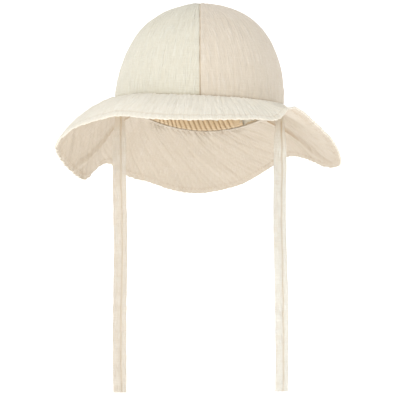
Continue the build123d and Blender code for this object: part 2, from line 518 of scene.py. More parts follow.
def stitches(
    name: str, points: Array, normals: Array, pitch: float, length: float, radius: float
) -> bpy.types.Object:
    """A row of thread stitches along a line on the cloth: small capsules half sunk into it.

    Args:
        name: the piece's name.
        points: the line, points by 3.
        normals: the cloth's outward normal at each point.
        pitch: distance from one stitch to the next.
        length: length of one stitch.
        radius: radius of the thread.

    Returns:
        The piece.
    """
    steps = np.linalg.norm(np.diff(points, axis=0), axis=1)
    run = np.concatenate([[0], np.cumsum(steps)])
    count = max(int(run[-1] / pitch), 1)
    places = (np.arange(count) + 0.5) * run[-1] / count
    half = length / 2

    def along(values: Array, where: Array) -> Array:
        """Values of the line at distances along it."""
        return np.stack([np.interp(where, run, values[:, k]) for k in range(3)], -1)

    start, end, up = along(points, places - half), along(points, places + half), along(normals, places)
    forward = end - start
    forward /= np.linalg.norm(forward, axis=1, keepdims=True)
    side = np.cross(forward, up)
    side /= np.linalg.norm(side, axis=1, keepdims=True)
    up = np.cross(side, forward)
    sections, ring = 5, 6
    t = np.linspace(-1, 1, sections)
    girth = np.sqrt(np.clip(1.02 - t**4, 0.05, 1))
    turn = np.arange(ring) * 2 * math.pi / ring
    middle = (start + end) / 2
    vertices = (
        middle[:, None, None]
        + forward[:, None, None] * (t * half)[None, :, None, None]
        + side[:, None, None] * (radius * girth[:, None] * np.cos(turn))[None, :, :, None]
        + up[:, None, None] * (radius * girth[:, None] * np.sin(turn))[None, :, :, None]
    )
    index = np.arange(count * sections * ring).reshape(count, sections, ring)
    here, there = index[:, :-1], index[:, 1:]
    walls = np.stack([here, np.roll(here, -1, 2), np.roll(there, -1, 2), there], -1).reshape(-1, 4)
    caps = np.concatenate([index[:, 0, ::-1], index[:, -1]])
    uv = np.stack(np.broadcast_arrays(turn[None, None] * radius, (t * half)[None, :, None]), -1)
    uv = np.broadcast_to(uv, (count, sections, ring, 2)).reshape(-1, 2)
    return make_object(name, vertices.reshape(-1, 3), walls[:, ::-1].tolist() + caps[:, ::-1].tolist(), uv, None)


# ------------------------------------------------------------------------------ the hat's shape
@dataclass
class HatShape:
    """The hat's surfaces as functions of azimuth, sized from the frame."""

    half_width: float
    half_depth: float
    crown_height: float
    crown_fullness: float = 2.3
    crown_flare: float = 5.0 * MM
    seam_drop: float = 6.5 * MM
    back_dip: float = 21.9 * MM
    back_dip_power: float = 1.7
    roll: float = 2.4
    # Hem of the brim and the flap: azimuth, then in millimetres its reach beyond the crown seam,
    # its drop below it, and how far the cloth between them bulges out.
    hem: tuple[tuple[float, float, float, float], ...] = (
        (-169.4, 50.7, 57.1, 3),
        (-158.6, 50.8, 52.0, 3),
        (-147.5, 48.7, 49.9, 3),
        (-136.9, 50.3, 42.3, 4),
        (-114.9, 42.1, 66.3, 5),
        (-102.9, 49.8, 58.4, 4.7),
        (-94.4, 54.9, 46.4, 6.7),
        (-83.1, 51.0, 37.6, 6),
        (-71.4, 43.4, 29.8, 3.5),
        (-58.5, 37.5, 24.7, 3.8),
        (-46.4, 39.5, 22.1, 5),
        (-32.5, 42.9, 20.3, 5),
        (-14.1, 46.7, 22.4, 4),
        (0.0, 45.0, 22.8, 3),
        (23.1, 41.8, 20.1, 2),
        (31.9, 39.4, 18.7, 0),
        (39.4, 36.0, 8.4, -3),
        (49.4, 31.8, 8.2, -5),
        (65.8, 33.2, 19.1, -5),
        (82.6, 42.3, 30.8, -4),
        (95.4, 52.5, 46.6, -2),
        (99.9, 53.3, 51.6, 0),
        (109.2, 45.8, 49.8, 2),
        (130.1, 45.5, 34.4, 3),
        (140.6, 48.8, 31.1, 3),
        (151.9, 51.3, 40.7, 3),
        (163.3, 51.7, 51.1, 3),
        (180.0, 50.0, 57.9, 3),
    )

    def opening_radius(self, azimuth: Array) -> Array:
        """Distance from the axis to the crown seam: the radius of an ellipse at an azimuth."""
        a = np.radians(azimuth)
        return 1 / np.hypot(np.sin(a) / self.half_width, np.cos(a) / self.half_depth)

    def seam_height(self, azimuth: Array) -> Array:
        """Height of the crown seam: level in front, dipping to the nape, tipped by the roll.

        Args:
            azimuth: azimuth of each grid point.

        Returns:
            The seam's height at each azimuth.
        """
        a, radius = np.radians(azimuth), self.opening_radius(azimuth)
        x, y = radius * np.sin(a), -radius * np.cos(a)
        dip = self.back_dip * (np.maximum(y, 0) / self.half_depth) ** self.back_dip_power
        return -self.seam_drop - dip - x * math.tan(math.radians(self.roll))

    def drape(self, azimuth: Array) -> Array:
        """Reach, drop and bulge at an azimuth: a closed cubic curve through the hem list.

        Args:
            azimuth: azimuth of each grid point.

        Returns:
            Reach, drop and bulge at each azimuth.
        """
        table = np.array(self.hem)
        turn = np.concatenate([table[:, 0] + k for k in (-360, 0, 360)])
        values = np.tile(table[:, 1:] * MM, (3, 1))
        slope = np.zeros_like(values)
        slope[1:-1] = (values[2:] - values[:-2]) / (turn[2:] - turn[:-2])[:, None]
        place = (azimuth - table[0, 0]) % 360 + table[0, 0]
        i = np.searchsorted(turn, place, side="right") - 1
        span = (turn[i + 1] - turn[i])[..., None]
        t = (place[..., None] - turn[i][..., None]) / span
        return (
            values[i] * (2 * t**3 - 3 * t**2 + 1)
            + slope[i] * span * (t**3 - 2 * t**2 + t)
            + values[i + 1] * (3 * t**2 - 2 * t**3)
            + slope[i + 1] * span * (t**3 - t**2)
        )

    def ray(self, azimuth: Array, radius: Array, height: Array) -> Array:
        """Points at a radius and height along each azimuth."""
        a = np.radians(azimuth)
        return np.stack(np.broadcast_arrays(radius * np.sin(a), -radius * np.cos(a), height), -1)

    def brim(self, azimuth: Array, across: Array, depth: float) -> Array:
        """Points of the brim: across is 0 at the crown seam and 1 at the hem.

        The line from seam to hem is lifted square to itself by a parabola of the bulge's height,
        and lowered by the depth.

        Args:
            azimuth: azimuth of each grid point.
            across: 0 at the crown seam and 1 at the hem.
            depth: how far the layer lies below the upper one.

        Returns:
            The points, as a grid by 3.
        """
        reach, drop, bulge = np.moveaxis(self.drape(azimuth), -1, 0)
        slant = np.hypot(reach, drop)
        lift = 4 * across * (1 - across) * bulge - depth
        radius = self.opening_radius(azimuth) + across * reach + lift * drop / slant
        return self.ray(azimuth, radius, self.seam_height(azimuth) - across * drop + lift * reach / slant)

    def crown(self, azimuth: Array, lift: Array, inset: float) -> Array:
        """Points of the crown: lift is 0 at the crown seam and 1 at the apex.

        The outline is a superellipse above the opening's plane, upright below it.

        Args:
            azimuth: azimuth of each grid point.
            lift: 0 at the crown seam and 1 at the apex.
            inset: distance into the hat.

        Returns:
            The points, as a grid by 3.
        """
        half = self.half_width - self.crown_flare - inset
        height = self.crown_height - inset
        lowest = np.arctan(self.seam_height(azimuth) / half)
        angle = lowest + lift * (math.radians(89.6) - lowest)
        rise, n = np.maximum(angle, 0), self.crown_fullness
        length = ((np.cos(rise) / half) ** n + (np.sin(rise) / height) ** n) ** (-1 / n)
        z = np.where(angle > 0, length * np.sin(rise), half * np.tan(np.minimum(angle, 0)))
        radius = length * np.cos(rise) + self.crown_flare * (1 - np.maximum(z, 0) / height)
        return self.ray(azimuth, radius * self.opening_radius(azimuth) / self.half_width, z)

    def wall(self, azimuth: Array, above_seam: Array, inset: Array) -> Array:
        """Points inside the foot of the crown, at a height above the crown seam.

        Args:
            azimuth: azimuth of each grid point.
            above_seam: height above the crown seam.
            inset: distance into the hat.

        Returns:
            The points, as a grid by 3.
        """
        seam_radius = self.opening_radius(azimuth)
        z = self.seam_height(azimuth) + above_seam
        half = self.half_width - self.crown_flare - inset
        share = np.maximum(z, 0) / (self.crown_height - inset)
        n = self.crown_fullness
        radius = half * (1 - share**n) ** (1 / n) + self.crown_flare * (1 - share)
        return self.ray(azimuth, radius * seam_radius / self.half_width, z)


# ------------------------------------------------------------------------------ crown
@dataclass
class Crown:
    """Four outer panels and four lining panels, stitched along the front, back and side seams."""

    shape: HatShape
    wardrobe: Wardrobe
    cloth: float = 0.6 * MM
    lining_inset: float = 1.0 * MM
    seam_allowance: float = 7.0 * MM
    rows: int = 150
    columns: int = 130
    quarters: dict[str, tuple[float, float]] = field(
        default_factory=lambda: {
            "front_left": (0.0, 90.0),
            "back_left": (90.0, 180.0),
            "back_right": (180.0, 270.0),
            "front_right": (270.0, 360.0),
        }
    )
    tones: dict[str, Cloth] = field(
        default_factory=lambda: {
            "front_left": Cloth.CROWN_WARM,
            "back_left": Cloth.CROWN_BACK,
            "back_right": Cloth.CROWN_BACK,
            "front_right": Cloth.CROWN_BRIGHT,
        }
    )

    def relief(self, azimuth: Array, height: Array, seam_gap: Array) -> Array:
        """Height of the cloth's folds over the smooth crown.

        Soft swells, fine creases up the panel, a fan of sharper creases below the apex, the fold
        of the seam with its puckers, and the allowance lying under the cloth beside it.

        Args:
            azimuth: azimuth of each grid point.
            height: distance above the crown seam.
            seam_gap: distance to the nearest seam between panels.

        Returns:
            The height of the folds at each point.
        """
        round_base = np.radians(azimuth) * self.shape.half_width
        up = height / self.shape.crown_height
        swell = Relief(3).at(round_base / (26 * MM), height / (34 * MM)) * 0.55
        crease = Relief(4).creases(round_base / (3.6 * MM), height / (34 * MM)) * 0.42
        fan_window = ease((up - 0.45) / 0.3) * (1 - ease((up - 1.05) / 0.25))
        fan = Relief(5).creases(azimuth / 5.5, height / (60 * MM)) * 0.75 * fan_window
        pucker = Relief(6).at(np.round(azimuth / 90) * 7, height / (4.2 * MM))
        seam = -0.55 * hump(seam_gap, 0.8 * MM) + 0.45 * pucker * np.exp(-seam_gap / (5 * MM))
        allowance = 0.28 * (1 - ease((seam_gap - self.seam_allowance) / (1.2 * MM)))
        foot = -0.55 * hump(height, 1.0 * MM) + 0.35 * Relief(8).at(
            round_base / (5.5 * MM), np.zeros_like(height)
        ) * np.exp(-np.maximum(height, 0) / (6 * MM))
        lean = -2.0 * hump(azimuth - 270, 48.0) * ease(up / 0.7) - 0.5
        return (swell + crease + fan + seam + allowance + foot + lean) * MM

    def panel(self, name: str, first: float, last: float, inset: float, rows: int, columns: int) -> bpy.types.Object:
        """One panel: a grid between two seams, raised by its folds.

        Args:
            name: the piece's name.
            first: first azimuth.
            last: last azimuth.
            inset: distance into the hat.
            rows: grid points round the hat.
            columns: grid points up the panel.

        Returns:
            The panel.
        """
        turn = np.linspace(first, last, rows)[:, None]
        lift = np.linspace(0, 1, columns)[None, :] ** 0.97
        azimuth = np.broadcast_to(turn, (rows, columns))
        smooth = self.shape.crown(azimuth, lift, inset)
        run = np.linalg.norm(np.diff(smooth, axis=1), axis=2).cumsum(axis=1)
        height = np.concatenate([np.zeros((rows, 1)), run], 1)
        flat_radius = np.hypot(smooth[..., 0], smooth[..., 1])
        seam_gap = np.radians(np.minimum(azimuth - first, last - azimuth)) * flat_radius
        near_apex = np.clip(flat_radius / (9 * MM), 0, 1)
        relief = self.relief(azimuth, height, seam_gap) * near_apex
        points = smooth + grid_normals(smooth) * relief[..., None]
        middle = (first + last) / 2
        uv = np.stack([np.radians(azimuth - middle) * (flat_radius * 0.6 + self.shape.half_width * 0.4), height], -1)
        # Painted shade: in the hollows of the folds, along the seam lines between panels and at the foot of the
        # crown by the brim.
        shade = cavity(relief, 1.1 * MM) * 0.35 + 0.75 * hump(seam_gap, 0.32 * MM) * near_apex
        shade += 0.30 * hump(height, 0.6 * MM)
        return cloth_shell(name, points, self.cloth, uv, np.clip(shade, 0, 1))

    def build(self) -> None:
        """Build and place all eight panels."""
        for quarter, (first, last) in self.quarters.items():
            outer = self.panel(f"crown_panel_{quarter}", first, last, 0.0, self.rows, self.columns)
            self.wardrobe.dress(outer, self.tones[quarter], "crown_gauze")
            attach(outer, "hat")
            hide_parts(f"crown_{quarter}")
            inner = self.panel(f"lining_panel_{quarter}", first, last, self.lining_inset, 60, 60)
            self.wardrobe.dress(inner, Cloth.LINING, "lining_gauze")
            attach(inner, "hat")
            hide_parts(f"lining_{quarter}")
            log.info("crown panel and lining %s", quarter)


# ------------------------------------------------------------------------------ brim and flap
@dataclass(frozen=True)
class Crease:
    """A long fold in the brim, from a place on the crown seam to a place on the hem."""

    seam_azimuth: float
    hem_azimuth: float
    depth: float
    width: float
    darkness: float

    def relief(self, azimuth: Array, across: Array, radius: Array) -> Array:
        """A valley along the line between the two places, fading at the hem.

        Args:
            azimuth: azimuth of each grid point.
            across: 0 at the crown seam and 1 at the hem.
            radius: distance from the hat's axis.

        Returns:
            The height at each point, negative in the valley.
        """
        line = self.seam_azimuth + (self.hem_azimuth - self.seam_azimuth) * across
        away = np.radians(azimuth - line) * radius
        return -self.depth * hump(away, self.width) * (1 - 0.6 * ease((across - 0.7) / 0.3))

    def shade(self, azimuth: Array, across: Array, radius: Array) -> Array:
        """Painted shade along the bottom of the valley: darkest at the crown seam, gone at the hem.

        Args:
            azimuth: azimuth of each grid point.
            across: 0 at the crown seam and 1 at the hem.
            radius: distance from the hat's axis.

        Returns:
            The darkness at each point.
        """
        line = self.seam_azimuth + (self.hem_azimuth - self.seam_azimuth) * across
        away = np.radians(azimuth - line) * radius
        return self.darkness * hump(away, self.width * 0.55) * (1 - ease(across / 0.95))


@dataclass
class Brim:
    """The front brim and the neck flap, each of two layers of gauze with a topstitched hem."""

    shape: HatShape
    wardrobe: Wardrobe
    fold_front: float
    fold_back: float
    cloth: float = 0.5 * MM
    under_depth: float = 1.0 * MM
    hem_width: float = 5.0 * MM
    hem_radius: float = 0.8 * MM
    allowance: float = 3.4 * MM
    stitch_pitch: float = 3.3 * MM
    rows: int = 620
    columns: int = 52
    ruched: tuple[float, float] = (149.0, 219.0)
    creases: tuple[Crease, ...] = (
        Crease(-127.0, -106.0, 2.6 * MM, 2.2 * MM, 0.70),
        Crease(128.0, 104.0, 3.0 * MM, 3.2 * MM, 0.95),
        Crease(-84.0, -96.0, -1.2 * MM, 5.0 * MM, 0.0),
    )

    def relief(self, azimuth: Array, across: Array, seam_run: Array, hem_run: Array, radius: Array) -> Array:
        """Height of the folds over the smooth brim: swells, ribs from seam to hem, the hem's
        groove and roll, gathers at the ruched nape and short pleats where a lobe hangs lowest.

        Args:
            azimuth: azimuth of each grid point.
            across: 0 at the crown seam and 1 at the hem.
            seam_run: distance from the crown seam along the cloth.
            hem_run: distance from the hem along the cloth.
            radius: distance from the hat's axis.

        Returns:
            The height of the folds at each point.
        """
        turn = np.where(azimuth < 0, azimuth + 360, azimuth)
        around = np.radians(azimuth) * (radius * 0.35 + self.shape.half_width * 0.9)
        loose = ease(seam_run / (16 * MM))
        swell = Relief(13).at(around / (30 * MM), seam_run / (40 * MM)) * 0.9 * loose
        warp = Relief(14).at(around / (18 * MM), seam_run / (14 * MM)) * 0.3
        rib = Relief(15).creases(around / (3.4 * MM) + warp, seam_run / (60 * MM)) * 0.7
        rib = rib + 0.22 * np.cos(2 * math.pi * around / (4.4 * MM) + warp * 9)
        fine = Relief(16).at(around / (1.7 * MM) + warp, seam_run / (12 * MM)) * 0.10
        groove = -0.42 * hump(hem_run - self.hem_width, 0.7 * MM)
        puff = 0.22 * hump(hem_run - self.hem_width * 0.45, 2.0 * MM)
        hem_pucker = 0.22 * Relief(17).at(around / (2.9 * MM), hem_run * 0) * hump(hem_run - self.hem_width, 4 * MM)
        first, last = self.ruched
        nape = ease((turn - first) / 5) * ease((last - turn) / 5)
        wander = Relief(18).at(around / (7 * MM), seam_run / (12 * MM)) * 2.2
        gather = np.cos(2 * math.pi * around / (5.4 * MM) + wander) * 1.3 * nape * np.exp(-seam_run / (6.5 * MM))
        lobe = hump(turn - 252, 16.0)
        pleat = Relief(19).at(around / (2.2 * MM), hem_run / (30 * MM)) * 1.5 * lobe
        pleat = pleat * np.exp(-hem_run / (9 * MM))
        sewn = ease(seam_run / (2.2 * MM))
        side = np.radians(np.minimum(np.abs(turn - 90), np.abs(turn - 270))) * radius
        side_seam = -0.5 * hump(side, 0.9 * MM) + 0.2 * (1 - ease((side - 6 * MM) / (1.0 * MM)))
        folds = swell + rib + fine + groove + puff + hem_pucker + gather + pleat + side_seam
        long_folds = sum(c.relief(np.where(turn > 180, turn - 360, turn), across, radius) for c in self.creases)
        return (folds * MM + long_folds) * sewn

    def surface(self, span: tuple[float, float], depth: float) -> dict[str, Array]:
        """The folded surface of a layer between two azimuths, with its coordinates.

        Args:
            span: first and last azimuth.
            depth: how far the layer lies below the upper one.

        Returns:
            The layer's points, coordinates, shade and relief.
        """
        azimuth = np.broadcast_to(np.linspace(*span[::-1], self.rows)[:, None], (self.rows, self.columns))
        across = np.linspace(0, 1, self.columns)[None, :]
        smooth = self.shape.brim(azimuth, across, 0.0)
        steps = np.linalg.norm(np.diff(smooth, axis=1), axis=2)
        seam_run = np.concatenate([np.zeros((self.rows, 1)), steps.cumsum(axis=1)], 1)
        hem_run = seam_run[:, -1:] - seam_run
        radius = np.hypot(smooth[..., 0], smooth[..., 1])
        relief = self.relief(azimuth, across, seam_run, hem_run, radius)
        normals = grid_normals(smooth)
        sunk = depth * (0.55 + 0.45 * ease(seam_run / (4 * MM)))
        points = smooth + normals * (relief - sunk)[..., None]
        uv = np.stack([np.radians(azimuth) * (self.shape.half_width * 1.3), seam_run], -1)
        # Painted shade: in the hollows of the folds as seen from the layer's visible side, in the hem's stitch
        # groove and down the long creases.
        seen = relief if depth == 0 else -relief
        hem_dark = 0.22 if depth == 0 else 0.34
        shade = cavity(seen, 1.3 * MM, 4) * 0.30 + hem_dark * hump(hem_run - self.hem_width, 0.7 * MM)
        turn = np.where(azimuth > 180, azimuth - 360, azimuth)
        shade = np.clip(shade + sum(c.shade(turn, across, radius) for c in self.creases), 0, 1)
        return {"points": points, "uv": uv, "shade": shade, "relief": relief}

    def with_allowance(self, face: dict[str, Array]) -> dict[str, Array]:
        """Carry the under layer inwards below the trim: a level strip on its edge at the crown seam.

        Args:
            face: the layer's points, coordinates and shade.

        Returns:
            The layer with its strip added.
        """
        points = face["points"]
        inward = -points[:, :1] * (1, 1, 0)
        inward /= np.linalg.norm(inward, axis=2, keepdims=True)
        reach = np.linspace(self.allowance, 0, 4)[None, :-1, None]
        strip = points[:, :1] + inward * reach
        uv = np.repeat(face["uv"][:, :1], 3, axis=1) - np.concatenate([np.zeros_like(reach), reach], -1)
        return {
            "points": np.concatenate([strip, points], 1),
            "uv": np.concatenate([uv, face["uv"]], 1),
            "shade": np.concatenate([np.repeat(face["shade"][:, :1], 3, axis=1), face["shade"]], 1),
        }

    def with_hem(self, face: dict[str, Array]) -> dict[str, Array]:
        """Carry the upper layer round the hem: a half circle from its edge down to the under side.

        Args:
            face: the layer's points, coordinates and shade.

        Returns:
            The layer with its rolled hem added.
        """
        points = face["points"]
        edge = points[:, -1]
        outward = edge - points[:, -3]
        outward /= np.linalg.norm(outward, axis=1, keepdims=True)
        up = grid_normals(points)[:, -1]
        turn = np.linspace(0, math.pi, 8)[1:][None, :, None]
        roll = edge[:, None] + self.hem_radius * (outward[:, None] * np.sin(turn) - up[:, None] * (1 - np.cos(turn)))
        uv_step = self.hem_radius * turn[..., 0]
        uv_edge = face["uv"][:, -1:]
        uv_along = np.broadcast_to(uv_edge[..., :1], (*roll.shape[:2], 1))
        uv = np.concatenate([uv_along, (uv_edge[..., 1] + uv_step)[..., None]], -1)
        shade = np.broadcast_to(face["shade"][:, -1:], roll.shape[:2])
        return {
            "points": np.concatenate([points, roll], 1),
            "uv": np.concatenate([face["uv"], uv], 1),
            "shade": np.concatenate([face["shade"], shade], 1),
        }

    def stitch_line(self, name: str, face: dict[str, Array], sign: float) -> bpy.types.Object:
        """The topstitching along the hem, on the upper side (sign 1) or the under side (-1).

        Args:
            name: the piece's name.
            face: the layer's points, coordinates and shade.
            sign: 1 for the upper side and -1 for the under side.

        Returns:
            The row of stitches.
        """
        points = face["points"]
        run = np.linalg.norm(np.diff(points, axis=1), axis=2)[:, ::-1].cumsum(axis=1)[:, ::-1]
        column = np.abs(run - self.hem_width).argmin(axis=1)
        rows = np.arange(len(points))
        normals = grid_normals(points)[rows, column] * sign
        line = points[rows, column] + normals * (0.0 if sign > 0 else self.cloth)
        return stitches(name, line, normals, self.stitch_pitch, 2.3 * MM, 0.19 * MM)

    def attach(self, piece: bpy.types.Object, moving: str) -> None:
        """Bake the piece's transform into its mesh."""
        fold, side = (self.fold_front, -1) if moving == "front_brim" else (self.fold_back, 1)
        side * (fold - 9 * MM)
        side * (fold + 9 * MM)
        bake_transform(piece)

    def build(self) -> None:
        """Build both halves of the brim, each of two layers with their stitching."""
        halves = (
            ("brim", "front_brim", (-90.0, 90.0), ("upper", "under"), "peak", 0.0196),
            ("flap", "neck_flap", (90.0, 270.0), ("outer", "inner"), "tail", 0.0262),
        )
        for half, moving, span, (top, below), edge, area in halves:
            upper = self.surface(span, 0.0)
            lower = self.surface(span, self.under_depth)
            hemmed, lower_cut = self.with_hem(upper), self.with_allowance(lower)
            made = {
                top: cloth_shell(f"{half}_{top}_layer", hemmed["points"], self.cloth, hemmed["uv"], hemmed["shade"]),
                below: cloth_shell(
                    f"{half}_{below}_layer", lower_cut["points"], self.cloth, lower_cut["uv"], lower_cut["shade"]
                ),
            }
            threads = [
                self.stitch_line(f"{half}_{top}_topstitch", upper, 1.0),
                self.stitch_line(f"{half}_{below}_topstitch", lower, -1.0),
            ]
            for layer, piece in made.items():
                cloth, slot = (Cloth.BRIM, "brim_gauze") if layer == top else (Cloth.UNDER_SHADED, "under_gauze")
                self.wardrobe.dress(piece, cloth, slot)
                self.attach(piece, moving)
                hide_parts(f"{half}_{layer}_sides", f"{half}_{layer}_{edge}")
            for thread in threads:
                self.wardrobe.dress(thread, Cloth.THREAD, "thread")
                self.attach(thread, moving)
            log.info("%s with its two layers and topstitching", half)


# ------------------------------------------------------------------------------ inside trim
@dataclass
class InsideTrim:
    """The tape over the crown seam, and the elastic in its ruched casing at the nape."""

    shape: HatShape
    wardrobe: Wardrobe
    trim_inset: float = 1.9 * MM
    tape_height: float = 10.0 * MM
    tape_thickness: float = 0.5 * MM
    elastic_width: float = 8.0 * MM
    elastic_thickness: float = 0.9 * MM
    casing_hem: float = 2.0 * MM
    casing_room: float = 0.4 * MM
    cloth: float = 0.5 * MM
    ends: tuple[float, float] = (149.0, 219.0)

    def band(
        self,
        name: str,
        span: tuple[float, float],
        low: float,
        high: float,
        inset: float,
        thickness: float,
        rows: int,
        columns: int,
    ) -> bpy.types.Object:
        """A smooth band on the inside of the crown, facing the head.

        Args:
            name: the piece's name.
            span: first and last azimuth.
            low: height of the lower edge.
            high: height of the upper edge.
            inset: distance into the hat.
            thickness: thickness of the band.
            rows: grid points round the hat.
            columns: grid points up or down.

        Returns:
            The band.
        """
        azimuth = np.broadcast_to(np.linspace(*span, rows)[:, None], (rows, columns))
        height = np.broadcast_to(np.linspace(high, low, columns)[None, :], (rows, columns))
        ripple = Relief(21).at(np.radians(azimuth) * 80 / 3.0, height / (5 * MM)) * 0.12 * MM
        points = self.shape.wall(azimuth, height, inset + thickness + ripple)
        uv = np.stack([np.radians(azimuth) * self.shape.half_width, height], -1)
        return cloth_shell(name, points, thickness, uv, np.zeros((rows, columns)))

    def casing(self) -> bpy.types.Object:
        """The casing: gathered cloth whose pleats are deep over the elastic and flat at its edges.

        The pleats are a wave of uneven pitch round the nape, leaning a little, whose height goes
        to zero at the two stitch lines and returns as a small frill beyond them.

        Returns:
            The casing.
        """
        rows, columns = 460, 44
        total = 2 * (self.casing_hem + self.casing_room) + self.elastic_width
        azimuth = np.broadcast_to(np.linspace(*self.ends, rows)[:, None], (rows, columns))
        height = np.broadcast_to(np.linspace(total, 0.1 * MM, columns)[None, :], (rows, columns))
        edge = np.minimum(height, total - height)
        plateau = ease(edge / self.casing_hem)
        around = np.radians(azimuth) * self.shape.half_depth
        uneven = Relief(22).at(around / (9 * MM), height / (30 * MM)) * 1.1
        phase = 2 * math.pi * (around / (5.0 * MM) - height / (11 * MM)) + uneven
        pleat = 1 - np.abs(np.sin(phase / 2)) ** 0.8
        wrinkle = Relief(23).at(around / (1.6 * MM), height / (6 * MM)) * 0.12
        stitch = hump(edge - self.casing_hem, 0.5 * MM)
        ends = ease((azimuth - self.ends[0] - 5) / 5) * ease((self.ends[1] - azimuth - 5) / 5)
        pleat = 0.3 + (pleat - 0.3) * ends
        depth = (1.5 * (1 - pleat) - 0.5) * (0.35 + 0.65 * plateau) * (1 - 0.6 * stitch) + wrinkle
        pocket = self.elastic_thickness + 2 * self.casing_room
        inset = self.trim_inset + self.cloth + pocket * plateau + np.maximum(depth, -0.25) * MM
        points = self.shape.wall(azimuth, height, inset)
        uv = np.stack([around * 1.6, height], -1)
        # Painted shade: darkest in the pleat grooves, and along the stitch lines.
        shade = np.clip(pleat * 1.15 - 0.18, 0, 1) * 0.80 + 0.30 * stitch
        return cloth_shell("nape_casing", points, self.cloth * 0.8, uv, np.clip(shade, 0, 1))

    def tacks(self) -> bpy.types.Object:
        """Stitched bars that hold each end of the elastic: short stitches across the casing.

        Returns:
            The bars, as one piece.
        """
        lines = []
        foot = self.casing_hem + self.casing_room
        inset = self.trim_inset + self.elastic_thickness + 2 * self.casing_room + 1.9 * MM
        for end, inward in ((self.ends[0], 1), (self.ends[1], -1)):
            for step in range(3):
                azimuth = np.full(12, end + inward * (0.5 + 0.45 * step))
                height = np.linspace(foot, foot + self.elastic_width, 12)
                lines.append(self.shape.wall(azimuth, height, inset))
        pieces = []
        for number, line in enumerate(lines):
            normals = -line * (1, 1, 0)
            normals /= np.linalg.norm(normals, axis=1, keepdims=True)
            pieces.append(stitches(f"tack_{number}", line, normals, 2.0 * MM, 1.7 * MM, 0.22 * MM))
        return join("elastic_end_tacks", pieces)

    def build(self) -> None:
        """Build the tape, the elastic, its casing and the tacks."""
        first, last = self.ends
        tape = self.band("crown_seam_tape", (last - 360, first), 0.1 * MM, self.tape_height, self.trim_inset,
                         self.tape_thickness, 320, 8)
        self.wardrobe.dress(tape, Cloth.TAPE, "cotton_tape")
        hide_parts("seam_tape")
        foot = self.casing_hem + self.casing_room
        elastic = self.band("nape_elastic", self.ends, foot, foot + self.elastic_width,
                            self.trim_inset + self.casing_room, self.elastic_thickness, 120, 12)
        self.wardrobe.dress(elastic, Cloth.ELASTIC, "elastic")
        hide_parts("elastic_band")
        casing = self.casing()
        self.wardrobe.dress(casing, Cloth.RUCHED_SHADED, "lining_gauze")
        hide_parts("elastic_casing")
        tacks = self.tacks()
        self.wardrobe.dress(tacks, Cloth.THREAD, "thread")
        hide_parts("elastic_tacks")
        for piece in (tape, elastic, casing, tacks):
            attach(piece, "hat")
        log.info("seam tape, elastic, casing and tacks")


def join(name: str, pieces: list[bpy.types.Object]) -> bpy.types.Object:
    """Join several pieces into one with a new name.

    Args:
        name: the name of the joined piece.
        pieces: the pieces to join.

    Returns:
        The joined piece.
    """
    with bpy.context.temp_override(
        active_object=pieces[0], selected_editable_objects=pieces, selected_objects=pieces
    ):
        bpy.ops.object.join()
    pieces[0].name = pieces[0].data.name = name
    return pieces[0]


